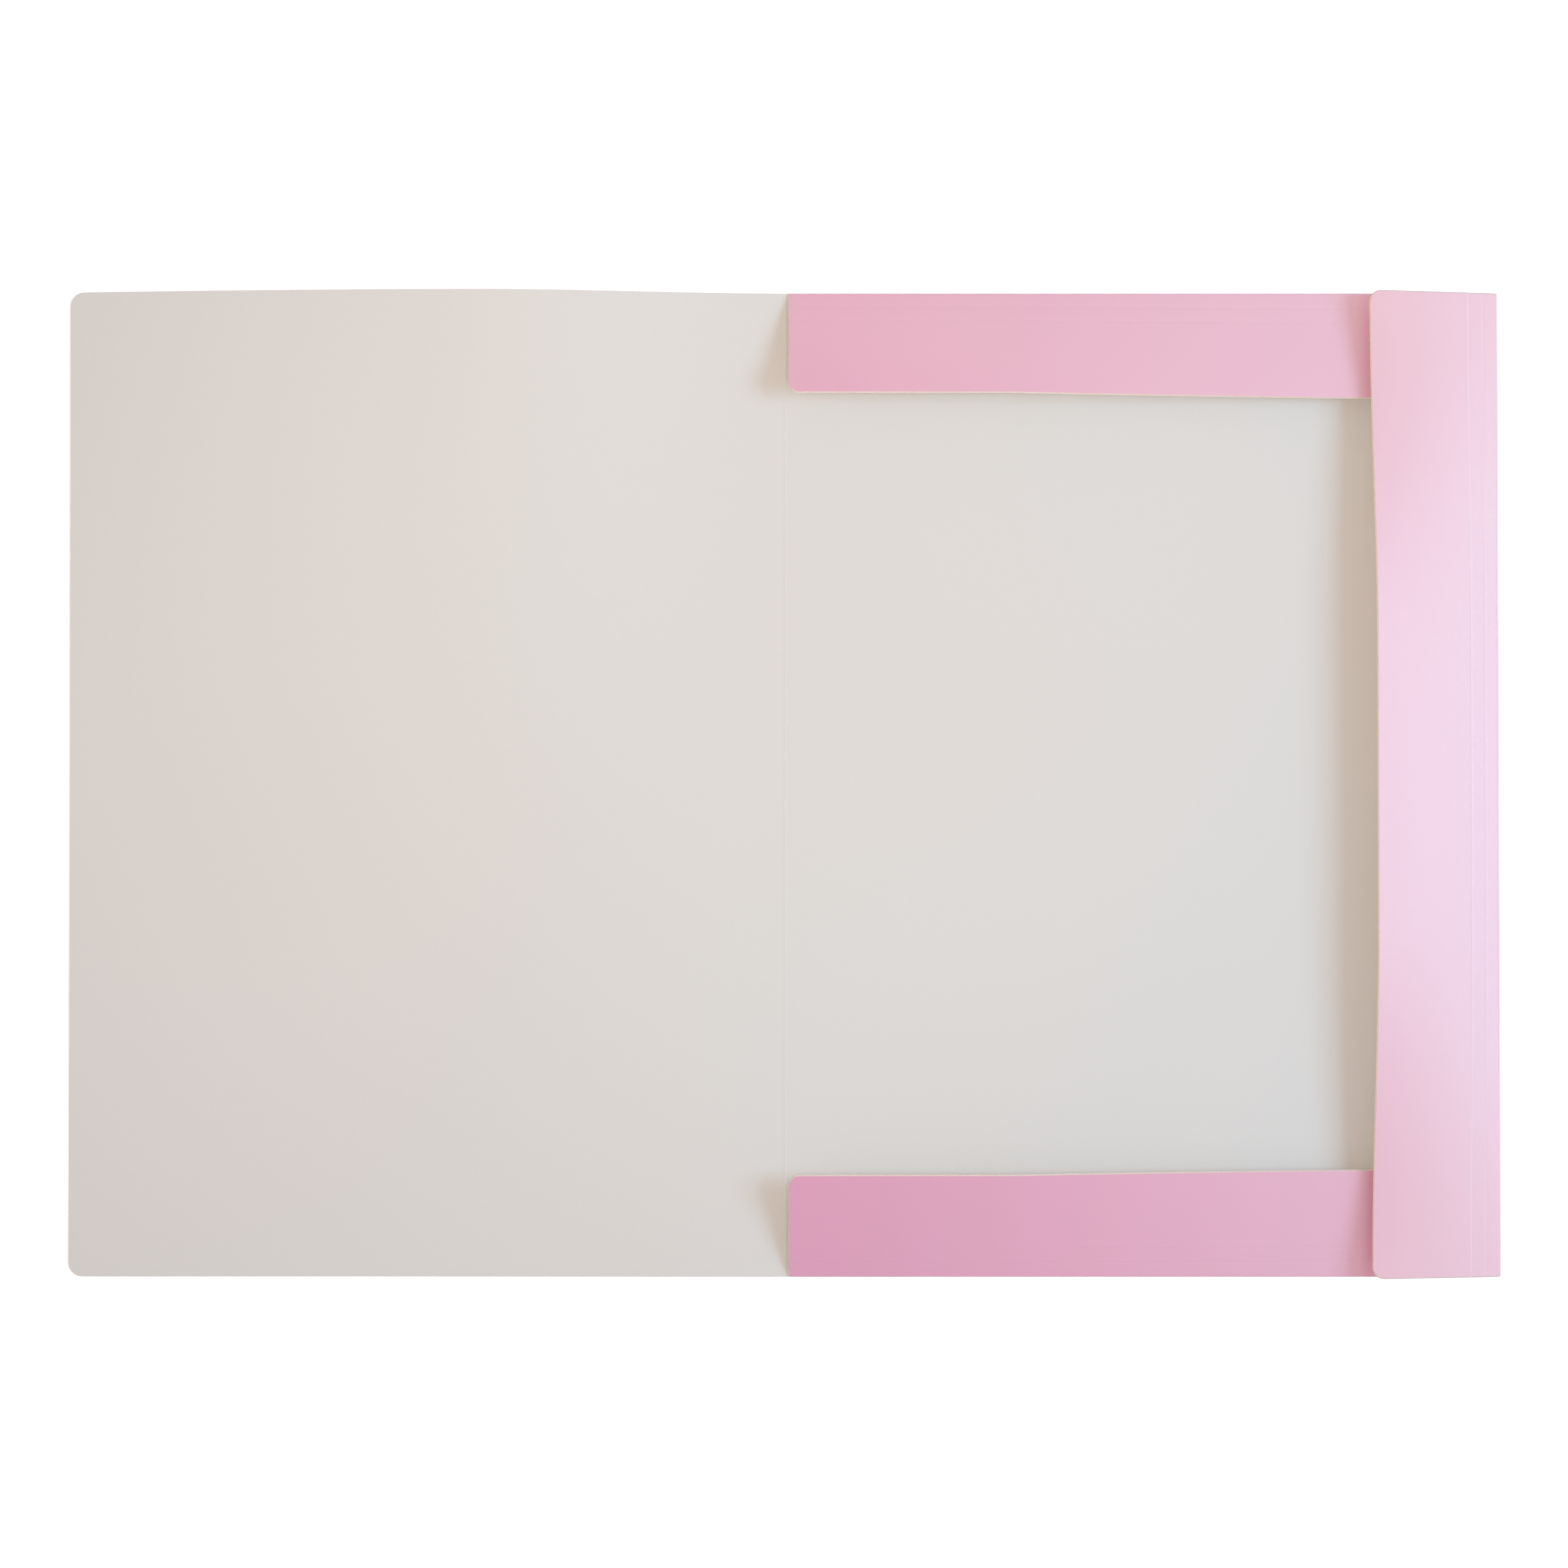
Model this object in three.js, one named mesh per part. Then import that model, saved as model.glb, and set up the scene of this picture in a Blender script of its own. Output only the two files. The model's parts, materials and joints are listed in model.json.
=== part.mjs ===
// Elastic closure folder: a creased card cover with three turned-in flaps and two corner elastics.
// Millimetres, +Z up, lying open with the inside up. The origin is under the middle of the open folder.
import * as THREE from "three";

// Card blank
const SHEET_HEIGHT = 320;
const FRONT_WIDTH = 233;
const BACK_WIDTH = 232;
const CARD = 0.5;
const COVER_CORNER_RADIUS = 4.5;
const PANEL_GAP = 0.3;

// Spine crease, pressed into the outside so that a bead stands up inside
const SPINE_BEAD_WIDTH = 1.4;
const SPINE_BEAD_HEIGHT = 0.4;
const SPINE_GROOVE_DEPTH = 0.2;

// Folds between the back cover and its flaps. Each fold's strip reaches the first capacity score.
const FOLD_INNER_RADIUS = 0.15;
const FOLD_LEG = 0.65;

// Capacity scores, measured from each fold. Card is parted at the first one and grooved at the second.
const FIRST_SCORE = 4.5;
const SECOND_SCORE = 9.5;
const SCORE_WIDTH = 0.8;
const SCORE_DEPTH = 0.15;

// Top and bottom flaps
const FLAP_DEPTH = 35;
const FLAP_CORNER_RADIUS = 4;
const FLAP_SPINE_CLEARANCE = 0.15;
const FLAP_LIFT_DEG = 12;
const FLAP_FLAT_LENGTH = 80;
const TUCK_END_INSET = 25;
const TUCK_CLEARANCE = 0.4;

// Side flap, bowed so that its middle stands higher than its ends
const SIDE_FLAP_WIDTH = 43.3;
const SIDE_LIFT_END_DEG = 13;
const SIDE_LIFT_MIDDLE_DEG = 20;

// Corner elastics and their end clips
const ELASTIC_WIDTH = 5;
const ELASTIC_THICKNESS = 0.8;
const ELASTIC_BEND_RADIUS = 0.3;
const ELASTIC_CLEARANCE = 0.3;
const ANCHOR_FAR = 62;
const ANCHOR_NEAR = 18;
const CLIP_LENGTH = 9;
const CLIP_WIDTH = 3;
const CLIP_THICKNESS = 0.5;
const CLIP_CRIMP_DEPTH = 0.15;
const CLIP_CRIMP_WIDTH = 1;

// Fineness of curves
const ARC_STEPS = 6;
const FLAP_STEPS = 14;

// Derived places
const outerFaceZ = ELASTIC_THICKNESS + ELASTIC_CLEARANCE;
const innerFaceZ = outerFaceZ + CARD;
const foldOuterRadius = FOLD_INNER_RADIUS + CARD;
const foldAxisZ = innerFaceZ + FOLD_INNER_RADIUS;
const spineX = (FRONT_WIDTH - BACK_WIDTH) / 2;
const sideFoldX = spineX + BACK_WIDTH - foldOuterRadius;
const flapFoldY = SHEET_HEIGHT / 2 - foldOuterRadius;
const flapStartX = spineX + SPINE_BEAD_WIDTH / 2 + FLAP_SPINE_CLEARANCE;
const tuckStartX = sideFoldX - SIDE_FLAP_WIDTH - PANEL_GAP;
const tuckEndX = sideFoldX - TUCK_END_INSET;
const coverStart = FOLD_LEG + PANEL_GAP;
const stripEnd = FIRST_SCORE - PANEL_GAP / 2;
const panelStart = FIRST_SCORE + PANEL_GAP / 2;

const radians = THREE.MathUtils.degToRad;

const laminate = new THREE.MeshStandardMaterial({ color: 0xe8bfd3, roughness: 0.32, metalness: 0.0 });
const insideCard = new THREE.MeshStandardMaterial({ color: 0xdfdad6, roughness: 0.75, metalness: 0.0 });
const wovenElastic = new THREE.MeshStandardMaterial({ color: 0xcf7f9f, roughness: 0.85, metalness: 0.0 });
const platedSteel = new THREE.MeshStandardMaterial({ color: 0xc9c9cc, roughness: 0.3, metalness: 1.0 });

// How far the side flap's card is turned up at a place along its fold.
function sideLift(y) {
  const outwards = (2 * y) / SHEET_HEIGHT;
  const degrees = SIDE_LIFT_MIDDLE_DEG + (SIDE_LIFT_END_DEG - SIDE_LIFT_MIDDLE_DEG) * outwards * outwards;
  return radians(degrees);
}

// The lift at which the tucked end's free corner passes just under the side flap.
function tuckedLift() {
  const freeEdgeY = flapFoldY - FLAP_DEPTH;
  const sideUnderside = TUCK_END_INSET * Math.sin(sideLift(freeEdgeY));
  const room = sideUnderside - CARD - TUCK_CLEARANCE;
  return Math.asin(room / FLAP_DEPTH);
}

// How far a top or bottom flap is turned up: even along the free stretch, then held down by the side flap.
function flapLift(x) {
  const bendStart = spineX + FLAP_FLAT_LENGTH;
  const along = THREE.MathUtils.clamp((x - bendStart) / (tuckEndX - bendStart), 0, 1);
  return THREE.MathUtils.lerp(radians(FLAP_LIFT_DEG), tuckedLift(), along * along);
}

// Stations from start to end, closer together round each rounded corner of the free edge.
// Each has its place along the fold and how much the corner takes off the panel's reach there.
function panelStations(start, end, startRadius, endRadius) {
  const stations = [];
  for (let i = 0; i < ARC_STEPS && startRadius > 0; i += 1) {
    const turn = (i / ARC_STEPS) * (Math.PI / 2);
    stations.push({ at: start + startRadius * (1 - Math.cos(turn)), trim: startRadius * (1 - Math.sin(turn)) });
  }
  for (let i = 0; i <= FLAP_STEPS; i += 1) {
    const at = THREE.MathUtils.lerp(start + startRadius, end - endRadius, i / FLAP_STEPS);
    stations.push({ at, trim: 0 });
  }
  for (let i = 1; i <= ARC_STEPS && endRadius > 0; i += 1) {
    const turn = (i / ARC_STEPS) * (Math.PI / 2);
    stations.push({ at: end - endRadius * (1 - Math.sin(turn)), trim: endRadius * (1 - Math.cos(turn)) });
  }
  return stations;
}

// Cross-section of a scored panel: x runs from the fold to the free edge, y through the card.
// The second score is a groove in the outside and a bead on the inside.
function scoredSection(reach) {
  const inner = FOLD_INNER_RADIUS;
  const outer = foldOuterRadius;
  const grooveStart = SECOND_SCORE - SCORE_WIDTH / 2;
  const grooveEnd = SECOND_SCORE + SCORE_WIDTH / 2;
  return [
    new THREE.Vector2(panelStart, inner),
    new THREE.Vector2(grooveStart, inner),
    new THREE.Vector2(SECOND_SCORE, inner - SCORE_DEPTH),
    new THREE.Vector2(grooveEnd, inner),
    new THREE.Vector2(reach, inner),
    new THREE.Vector2(reach, outer),
    new THREE.Vector2(grooveEnd, outer),
    new THREE.Vector2(SECOND_SCORE, outer - SCORE_DEPTH),
    new THREE.Vector2(grooveStart, outer),
    new THREE.Vector2(panelStart, outer),
  ];
}

// A scored card panel in its fold's own frame: x points into the folder, y up and z along the fold.
// Its cross-section is turned about the fold by the lift of each station.
function liftedPanel(stations, reach, liftAt) {
  const positions = [];
  for (const station of stations) {
    const lift = liftAt(station.at);
    for (const point of scoredSection(reach - station.trim)) {
      const x = point.x * Math.cos(lift) - point.y * Math.sin(lift);
      const y = point.x * Math.sin(lift) + point.y * Math.cos(lift);
      positions.push(x, y, station.at);
    }
  }
  const section = scoredSection(reach);
  const count = section.length;
  const last = (stations.length - 1) * count;
  const faces = [];
  for (let ring = 0; ring < last; ring += count) {
    for (let i = 0; i < count; i += 1) {
      const j = (i + 1) % count;
      faces.push(ring + i, ring + j, ring + count + j);
      faces.push(ring + i, ring + count + j, ring + count + i);
    }
  }
  for (const [a, b, c] of THREE.ShapeUtils.triangulateShape(section, [])) {
    faces.push(a, c, b);
    faces.push(last + a, last + b, last + c);
  }
  const geometry = new THREE.BufferGeometry();
  geometry.setAttribute("position", new THREE.Float32BufferAttribute(positions, 3));
  geometry.setIndex(faces);
  geometry.computeVertexNormals();
  return geometry;
}

// The bent card round a fold: a half turn with a short leg on the cover's side, and a strip on the flap's
// side that ends at the first score.
function foldProfile(lift) {
  const leg = new THREE.Vector2(Math.cos(lift), Math.sin(lift)).multiplyScalar(stripEnd);
  const outer = new THREE.Vector2(-Math.sin(lift), Math.cos(lift)).multiplyScalar(foldOuterRadius);
  const inner = new THREE.Vector2(-Math.sin(lift), Math.cos(lift)).multiplyScalar(FOLD_INNER_RADIUS);
  const down = (3 * Math.PI) / 2;
  const up = Math.PI / 2 + lift;
  const profile = new THREE.Shape();
  profile.moveTo(FOLD_LEG, -foldOuterRadius);
  profile.lineTo(0, -foldOuterRadius);
  profile.absarc(0, 0, foldOuterRadius, down, up, true);
  profile.lineTo(outer.x + leg.x, outer.y + leg.y);
  profile.lineTo(inner.x + leg.x, inner.y + leg.y);
  profile.lineTo(inner.x, inner.y);
  profile.absarc(0, 0, FOLD_INNER_RADIUS, up, down, false);
  profile.lineTo(FOLD_LEG, -FOLD_INNER_RADIUS);
  profile.closePath();
  return profile;
}

// The bent card of one fold, from start to end along it.
function foldEdge(start, end, lift) {
  const settings = { depth: end - start, bevelEnabled: false, curveSegments: ARC_STEPS * 2 };
  const geometry = new THREE.ExtrudeGeometry(foldProfile(lift), settings);
  geometry.translate(0, 0, start);
  return geometry;
}

// A flat sheet of card from its outline, lying between the covers' two faces.
function cardSheet(outline) {
  const settings = { depth: CARD, bevelEnabled: false, curveSegments: ARC_STEPS };
  const geometry = new THREE.ExtrudeGeometry(outline, settings);
  geometry.translate(0, 0, outerFaceZ);
  return geometry;
}

function addPiece(parent, name, geometry, material) {
  const mesh = new THREE.Mesh(geometry, material);
  mesh.name = name;
  parent.add(mesh);
  return mesh;
}

// Where one elastic passes through the back cover: two slots on a diagonal across the corner.
function cornerAnchors(side) {
  const high = new THREE.Vector2(sideFoldX - ANCHOR_FAR, side * (flapFoldY - ANCHOR_NEAR));
  const low = new THREE.Vector2(sideFoldX - ANCHOR_NEAR, side * (flapFoldY - ANCHOR_FAR));
  return [high, low];
}

function diagonalAngle(side) {
  const [high, low] = cornerAnchors(side);
  return low.clone().sub(high).angle();
}

// The slot for an elastic's end, square to the elastic.
function slotHole(anchor, side) {
  const halfLong = ELASTIC_WIDTH / 2 + ELASTIC_CLEARANCE;
  const halfShort = ELASTIC_THICKNESS / 2 + ELASTIC_CLEARANCE;
  const corners = [
    [-halfShort, -halfLong],
    [-halfShort, halfLong],
    [halfShort, halfLong],
    [halfShort, -halfLong],
  ];
  const middle = new THREE.Vector2(0, 0);
  const points = corners.map(([x, y]) =>
    new THREE.Vector2(x, y).rotateAround(middle, diagonalAngle(side)).add(anchor),
  );
  return new THREE.Path(points);
}

function frontCover() {
  const left = spineX - FRONT_WIDTH;
  const right = spineX - SPINE_BEAD_WIDTH / 2 - PANEL_GAP;
  const half = SHEET_HEIGHT / 2;
  const radius = COVER_CORNER_RADIUS;
  const outline = new THREE.Shape();
  outline.moveTo(right, -half);
  outline.lineTo(right, half);
  outline.lineTo(left + radius, half);
  outline.absarc(left + radius, half - radius, radius, Math.PI / 2, Math.PI, false);
  outline.lineTo(left, -half + radius);
  outline.absarc(left + radius, -half + radius, radius, Math.PI, (3 * Math.PI) / 2, false);
  outline.closePath();
  return cardSheet(outline);
}

// The back cover stops short of its three folds, and reaches the full height in the corners
// beyond the top and bottom flaps.
function backCover() {
  const left = spineX + SPINE_BEAD_WIDTH / 2 + PANEL_GAP;
  const right = sideFoldX - coverStart;
  const cornerX = tuckEndX + PANEL_GAP;
  const half = SHEET_HEIGHT / 2;
  const foldHalf = flapFoldY - coverStart;
  const outline = new THREE.Shape();
  outline.moveTo(left, -foldHalf);
  outline.lineTo(cornerX, -foldHalf);
  outline.lineTo(cornerX, -half);
  outline.lineTo(right, -half);
  outline.lineTo(right, half);
  outline.lineTo(cornerX, half);
  outline.lineTo(cornerX, foldHalf);
  outline.lineTo(left, foldHalf);
  outline.closePath();
  for (const side of [1, -1]) {
    for (const anchor of cornerAnchors(side)) outline.holes.push(slotHole(anchor, side));
  }
  return cardSheet(outline);
}

// The strip between the covers, with its bead inside and its groove outside.
function spineCrease() {
  const half = SPINE_BEAD_WIDTH / 2;
  const profile = new THREE.Shape();
  profile.moveTo(-half, outerFaceZ);
  profile.quadraticCurveTo(0, outerFaceZ + 2 * SPINE_GROOVE_DEPTH, half, outerFaceZ);
  profile.lineTo(half, innerFaceZ);
  profile.quadraticCurveTo(0, innerFaceZ + 2 * SPINE_BEAD_HEIGHT, -half, innerFaceZ);
  profile.closePath();
  const settings = { depth: SHEET_HEIGHT, bevelEnabled: false, curveSegments: ARC_STEPS };
  const geometry = new THREE.ExtrudeGeometry(profile, settings);
  geometry.translate(0, 0, -SHEET_HEIGHT / 2);
  geometry.rotateX(Math.PI / 2);
  geometry.translate(spineX, 0, 0);
  return geometry;
}

// One elastic: flat on the outside of the back cover, with both ends turned up through their slots.
function cornerElastic(length) {
  const reach = length / 2 + ELASTIC_THICKNESS / 2;
  const top = innerFaceZ;
  const inner = ELASTIC_BEND_RADIUS;
  const outer = ELASTIC_BEND_RADIUS + ELASTIC_THICKNESS;
  const tab = reach - ELASTIC_THICKNESS;
  const profile = new THREE.Shape();
  profile.moveTo(reach, top);
  profile.lineTo(tab, top);
  profile.lineTo(tab, outer);
  profile.absarc(tab - inner, outer, inner, 0, -Math.PI / 2, true);
  profile.lineTo(-tab + inner, ELASTIC_THICKNESS);
  profile.absarc(-tab + inner, outer, inner, -Math.PI / 2, -Math.PI, true);
  profile.lineTo(-tab, top);
  profile.lineTo(-reach, top);
  profile.lineTo(-reach, outer);
  profile.absarc(-reach + outer, outer, outer, Math.PI, (3 * Math.PI) / 2, false);
  profile.lineTo(reach - outer, 0);
  profile.absarc(reach - outer, outer, outer, -Math.PI / 2, 0, false);
  profile.closePath();
  const settings = { depth: ELASTIC_WIDTH, bevelEnabled: false, curveSegments: ARC_STEPS };
  const geometry = new THREE.ExtrudeGeometry(profile, settings);
  geometry.translate(0, 0, -ELASTIC_WIDTH / 2);
  geometry.rotateX(Math.PI / 2);
  return geometry;
}

// A clip crimped on an elastic's end: a flat bar with round ends and one pressed groove on each side.
function elasticClip() {
  const half = CLIP_WIDTH / 2;
  const straight = CLIP_LENGTH / 2 - half;
  const groove = CLIP_CRIMP_WIDTH / 2;
  const outline = new THREE.Shape();
  outline.moveTo(half, -straight);
  outline.lineTo(half, -groove);
  outline.lineTo(half - CLIP_CRIMP_DEPTH, 0);
  outline.lineTo(half, groove);
  outline.lineTo(half, straight);
  outline.absarc(0, straight, half, 0, Math.PI, false);
  outline.lineTo(-half, groove);
  outline.lineTo(-half + CLIP_CRIMP_DEPTH, 0);
  outline.lineTo(-half, -groove);
  outline.lineTo(-half, -straight);
  outline.absarc(0, -straight, half, Math.PI, 2 * Math.PI, false);
  const settings = { depth: CLIP_THICKNESS, bevelEnabled: false, curveSegments: ARC_STEPS };
  const geometry = new THREE.ExtrudeGeometry(outline, settings);
  geometry.translate(0, 0, innerFaceZ);
  return geometry;
}

// A group whose axes are a fold's: x into the folder, y up, z along the fold.
function foldFrame(x, y, inward) {
  const frame = new THREE.Group();
  const up = new THREE.Vector3(0, 0, 1);
  const along = new THREE.Vector3().crossVectors(inward, up);
  frame.quaternion.setFromRotationMatrix(new THREE.Matrix4().makeBasis(inward, up, along));
  frame.position.set(x, y, foldAxisZ);
  return frame;
}

// Top flap for side 1, bottom flap for side -1. Its fold's z axis runs against X at the top
// and with X at the bottom, so places along X are turned into places along the fold.
function addFlap(folder, name, side) {
  const frame = foldFrame(0, side * flapFoldY, new THREE.Vector3(0, -side, 0));
  const alongFold = (x) => -side * x;
  const liftAt = (z) => flapLift(-side * z);
  const between = (fromX, toX) => [alongFold(fromX), alongFold(toX)].sort((a, b) => a - b);
  const [edgeStart, edgeEnd] = between(flapStartX, tuckEndX);
  addPiece(frame, name + "_fold_edge", foldEdge(edgeStart, edgeEnd, radians(FLAP_LIFT_DEG)), laminate);
  const [start, end] = between(flapStartX, tuckStartX);
  const startRadius = side > 0 ? 0 : FLAP_CORNER_RADIUS;
  const endRadius = side > 0 ? FLAP_CORNER_RADIUS : 0;
  const stations = panelStations(start, end, startRadius, endRadius);
  addPiece(frame, name + "_flap", liftedPanel(stations, FLAP_DEPTH, liftAt), laminate);
  const [tuckStart, tuckEnd] = between(tuckStartX + PANEL_GAP, tuckEndX);
  const tuckStartRadius = side > 0 ? FLAP_CORNER_RADIUS : 0;
  const tuckEndRadius = side > 0 ? 0 : FLAP_CORNER_RADIUS;
  const tuckStations = panelStations(tuckStart, tuckEnd, tuckStartRadius, tuckEndRadius);
  addPiece(frame, name + "_flap_tuck", liftedPanel(tuckStations, FLAP_DEPTH, liftAt), laminate);
  folder.add(frame);
}

function addSideFlap(folder) {
  const frame = foldFrame(sideFoldX, 0, new THREE.Vector3(-1, 0, 0));
  const half = SHEET_HEIGHT / 2;
  const meanLift = radians((SIDE_LIFT_END_DEG + SIDE_LIFT_MIDDLE_DEG) / 2);
  addPiece(frame, "side_fold_edge", foldEdge(-half, half, meanLift), laminate);
  const stations = panelStations(-half, half, FLAP_CORNER_RADIUS, FLAP_CORNER_RADIUS);
  addPiece(frame, "side_flap", liftedPanel(stations, SIDE_FLAP_WIDTH, sideLift), laminate);
  folder.add(frame);
}

function addElastic(folder, name, side) {
  const [high, low] = cornerAnchors(side);
  const angle = diagonalAngle(side);
  const band = addPiece(folder, name + "_corner_elastic", cornerElastic(high.distanceTo(low)), wovenElastic);
  band.position.set((high.x + low.x) / 2, (high.y + low.y) / 2, 0);
  band.rotation.z = angle;
  const clips = { spine_end_clip: high, side_end_clip: low };
  for (const [clipName, anchor] of Object.entries(clips)) {
    const clip = addPiece(folder, name + "_elastic_" + clipName, elasticClip(), platedSteel);
    clip.position.set(anchor.x, anchor.y, 0);
    clip.rotation.z = angle;
  }
}

const folder = new THREE.Group();
addPiece(folder, "back_cover", backCover(), insideCard);
addPiece(folder, "front_cover", frontCover(), insideCard);
addPiece(folder, "spine_crease", spineCrease(), insideCard);
addFlap(folder, "top", 1);
addFlap(folder, "bottom", -1);
addSideFlap(folder);
addElastic(folder, "top", 1);
addElastic(folder, "bottom", -1);

export default folder;
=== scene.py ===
import json
import math

import bmesh
import bpy
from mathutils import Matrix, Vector


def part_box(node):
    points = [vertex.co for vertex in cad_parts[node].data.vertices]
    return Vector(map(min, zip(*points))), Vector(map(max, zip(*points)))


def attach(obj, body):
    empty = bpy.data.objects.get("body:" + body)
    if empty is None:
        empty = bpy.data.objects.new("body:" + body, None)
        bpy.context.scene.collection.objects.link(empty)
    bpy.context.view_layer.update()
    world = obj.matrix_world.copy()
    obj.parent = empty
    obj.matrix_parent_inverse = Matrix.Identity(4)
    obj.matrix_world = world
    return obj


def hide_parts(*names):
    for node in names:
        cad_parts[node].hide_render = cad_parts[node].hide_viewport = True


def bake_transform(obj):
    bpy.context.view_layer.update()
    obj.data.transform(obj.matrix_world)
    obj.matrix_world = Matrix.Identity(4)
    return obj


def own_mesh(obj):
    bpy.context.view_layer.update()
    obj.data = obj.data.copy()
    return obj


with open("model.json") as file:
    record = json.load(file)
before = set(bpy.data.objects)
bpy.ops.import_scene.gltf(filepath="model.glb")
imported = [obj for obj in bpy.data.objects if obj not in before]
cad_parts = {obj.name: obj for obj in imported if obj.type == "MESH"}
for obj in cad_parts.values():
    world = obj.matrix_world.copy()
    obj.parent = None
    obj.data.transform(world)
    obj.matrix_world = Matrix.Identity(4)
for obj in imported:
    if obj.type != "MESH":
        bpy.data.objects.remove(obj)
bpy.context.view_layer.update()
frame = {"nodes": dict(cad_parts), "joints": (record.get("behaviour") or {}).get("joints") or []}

MM = 0.001
ALONG_X = Vector((1, 0, 0))
ALONG_Y = Vector((0, 1, 0))

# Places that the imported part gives
joints = {joint["name"]: Vector(joint["pos_m"]) for joint in frame["joints"]}
cover_low, cover_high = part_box("front_cover")
bead_low, bead_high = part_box("spine_crease")
END_FLAP_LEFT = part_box("top_fold_edge")[0].x
END_FLAP_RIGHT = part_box("top_flap_tuck")[1].x
TUCK_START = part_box("top_flap")[1].x
CARD = cover_high.z - cover_low.z
OUTER_FACE = cover_low.z
INNER_FACE = cover_high.z
SPINE = (bead_low.x + bead_high.x) / 2
SHEET_TOP = cover_high.y
COVER_LEFT = cover_low.x
FLAP_FOLD = joints["top_fold"]
SIDE_FOLD = joints["side_fold"]

# Rounded corners of the die-cut sheet, and the lean of its cut edges
COVER_CORNER = 4.6 * MM
FLAP_CORNER = 3.9 * MM
CORNER_FACETS = 8
CUT_LEAN = 0.32 * MM

# The spine's raised bead. Its side towards the front cover is gentle, and the other one steep.
BEAD_REACH = 1.0 * MM
BEAD_HEIGHT = 0.08 * MM
BEAD_GENTLE = 0.95 * MM
BEAD_STEEP = 0.45 * MM

# Folds: their radius on the inside and in the middle of the card, how long half a turn is, and the
# leg that a fold's strip has on the cover.
FOLD_INSIDE = 0.15 * MM
FOLD_MIDDLE = FOLD_INSIDE + CARD / 2
FOLD_ARC = FOLD_MIDDLE * math.pi
FOLD_FACETS = 14
COVER_LEG = 0.95 * MM

# Pressed scores, counted from the fold. A score's side towards the fold is half as steep as the
# other. SCORE_CUTS says where the card is cut so that it can follow both, in half widths of a
# score.
FIRST_SCORE = 4.5 * MM
SECOND_SCORE = 9.5 * MM
SCORE_DEPTH = 0.04 * MM
SCORE_HALF = 0.35 * MM
SCORE_GAP = 0.004 * MM
SCORE_CUTS = (-3, -2.3, -2, -1, 0, 0.5, 1, 1.4, 2.5)

# How far apart the sheets are cut across, so that they can bend
COVER_STEP_ACROSS = 6 * MM
COVER_STEP_UP = 8 * MM
BEAD_STEP_ACROSS = 0.1 * MM
BEAD_STEP_UP = 20 * MM
FOLD_STEP_AFTER = 0.6 * MM
FLAP_STEP_INWARDS = 4 * MM
FLAP_STEP_ALONG = 5 * MM

# Tolerances
CUT_TOLERANCE = 1e-7
JOIN_TOLERANCE = 0.01 * MM
FACE_TOLERANCE = 0.02 * MM

# How the flaps have sprung up, in degrees. The end flaps stand up evenly from the spine as far as
# EVEN_STRETCH, and from there twist down to where they are tucked under the side flap.
FLAP_DEPTH = 35 * MM
FLAP_LIFT = 18.6
TUCKED_LIFT = 9.5
EVEN_STRETCH = 73 * MM
TWIST_BLEND = 18 * MM
TWIST_LIMIT = 1.02

# The side flap bows up between its ends. Its reaches are shares of half its length.
SIDE_WIDTH = 43.3 * MM
SIDE_LIFT_END = 13.0
SIDE_LIFT_MIDDLE = 20.0
SIDE_BOW_FROM = 0.3
SIDE_BOW_TO = 0.98

# The front cover's top edge bows up, and its bottom edge droops. The reaches are shares of the way
# from the spine to the free edge, where the bow has lost the share BOW_LOSS of its height.
COVER_BOW = 11.5 * MM
BOW_CREST = 0.42
BOW_LOSS = 0.82
BOW_FALL = 1.7
COVER_DROOP = 0.9 * MM
DROOP_FROM = 0.05
DROOP_TO = 0.6

# Corner elastics. RIB_DEPTH and BAND_EDGE_THINNING are shares of the band's thickness, and
# BAND_EDGE_FROM is a share of its half width.
BAND_WIDTH = 5 * MM
BAND_THICK = 0.8 * MM
BAND_RIBS = 5
RIB_DEPTH = 0.12
BAND_EDGE_FROM = 0.86
BAND_EDGE_THINNING = 0.55
BAND_COLUMNS = 40
BAND_STEP = 2 * MM
BEND_INSIDE = 0.3 * MM
BEND_FACETS = 8

# The photograph's view. The tilt is in degrees, and the sensor in millimetres, as Blender has it.
TABLE_WIDTH_SEEN = 510.7 * MM
CAMERA_DISTANCE = 1500 * MM
CAMERA_TILT = 1.42
SENSOR = 36.0


def smooth(low, high, value):
    share = min(max((value - low) / (high - low), 0.0), 1.0)
    return share * share * (3 - 2 * share)


def flap_lift(x):
    blend = smooth(EVEN_STRETCH - TWIST_BLEND, EVEN_STRETCH + TWIST_BLEND, x)
    share = blend * (x - EVEN_STRETCH) / (TUCK_START - EVEN_STRETCH)
    drop = (FLAP_LIFT - TUCKED_LIFT) * min(max(share, 0.0), TWIST_LIMIT)
    return math.radians(FLAP_LIFT - drop)


def side_lift(y):
    rise = 1 - smooth(SIDE_BOW_FROM, SIDE_BOW_TO, abs(y) / SHEET_TOP)
    return math.radians(SIDE_LIFT_END + (SIDE_LIFT_MIDDLE - SIDE_LIFT_END) * rise)


def cover_bow(x, y):
    from_spine = (SPINE - x) / (SPINE - COVER_LEFT)
    rise = smooth(0.0, BOW_CREST, from_spine)
    fall = 1 - BOW_LOSS * max((from_spine - BOW_CREST) / (1 - BOW_CREST), 0) ** BOW_FALL
    up_the_sheet = (y + SHEET_TOP) / (2 * SHEET_TOP)
    bow = COVER_BOW * min(rise, fall) * up_the_sheet ** 2
    droop = COVER_DROOP * smooth(DROOP_FROM, DROOP_TO, from_spine) * (1 - up_the_sheet ** 2)
    return bow - droop


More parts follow.
